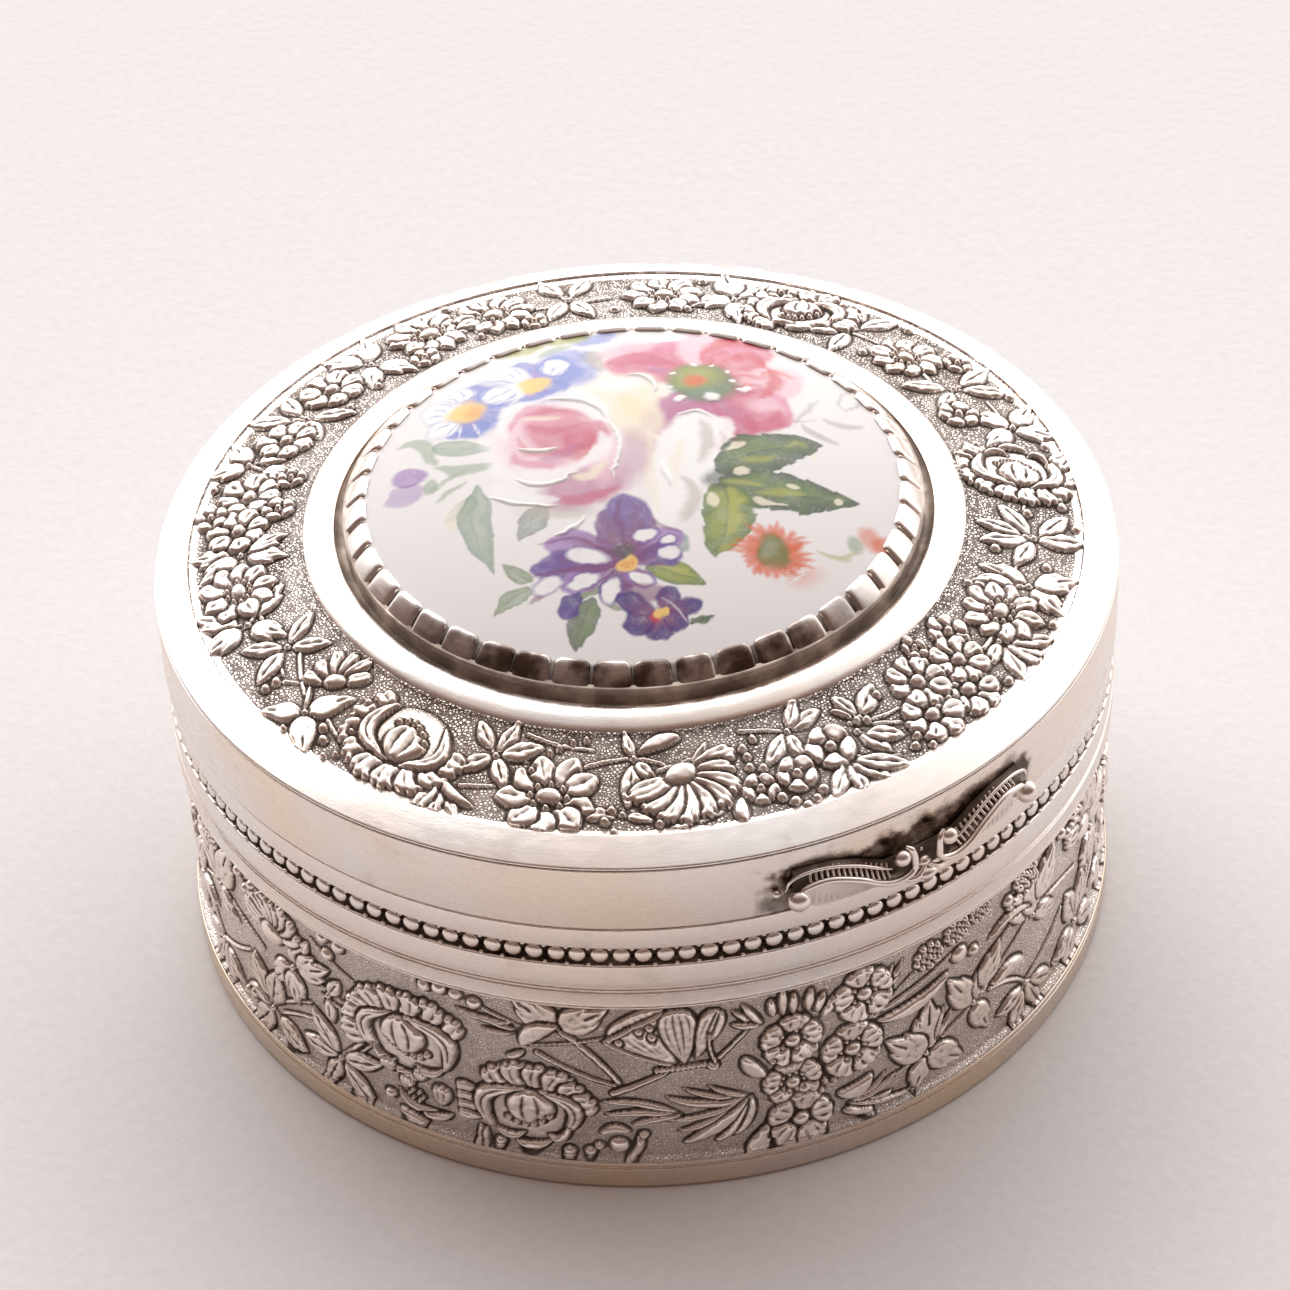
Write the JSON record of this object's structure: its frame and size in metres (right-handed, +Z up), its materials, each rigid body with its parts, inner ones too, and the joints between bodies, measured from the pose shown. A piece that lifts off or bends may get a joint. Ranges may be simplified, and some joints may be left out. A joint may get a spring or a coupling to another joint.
{
  "type": "pill box",
  "caption": "Round silver pill box: hinged domed lid with a painted porcelain plaque, embossed floral side band, beaded wire and a double-scroll thumbpiece.",
  "frame": {"origin": "centre of the flat underside", "axes": "+Z up through the centre of the lid, -Y towards the thumbpiece, +Y towards the hinge"},
  "size_m": [0.048, 0.0493, 0.026],
  "materials": {
    "silver_polished": "polished silver, softly worn",
    "silver_oxidised": "stamped silver, dark oxide in the recesses and polished high points",
    "gilt": "satin gilt wash",
    "porcelain": "glossy white glaze with painted flowers"
  },
  "bodies": {
    "base": {"bottom_plate": "silver_polished", "foot_ring": "silver_polished", "upper_band": "silver_polished", "bead_wire": "silver_polished", "mouth_ring": "silver_polished", "hinge_bearer_base": "silver_polished", "hinge_knuckle_base_1": "silver_polished", "hinge_knuckle_base_2": "silver_polished", "hinge_knuckle_base_3": "silver_polished", "hinge_pin": "silver_polished", "side_wall": "silver_oxidised", "liner_wall": "gilt", "liner_floor": "gilt"},
    "lid": {"lid_rim": "silver_polished", "lid_top": "silver_oxidised", "lid_frame_ring": "silver_polished", "bezel_seat": "silver_oxidised", "bezel": "silver_polished", "porcelain_plaque": "porcelain", "lid_lining": "gilt", "thumbpiece": "silver_polished", "hinge_bearer_lid": "silver_polished", "hinge_knuckle_lid_1": "silver_polished", "hinge_knuckle_lid_2": "silver_polished"}
  },
  "joints": [
    {"name": "lid_hinge", "type": "hinge", "parent": "base", "child": "lid", "pos_m": [0, 0.0231, 0.0175], "axis": [-1, 0, 0], "range_deg": [0, 105]}
  ]
}
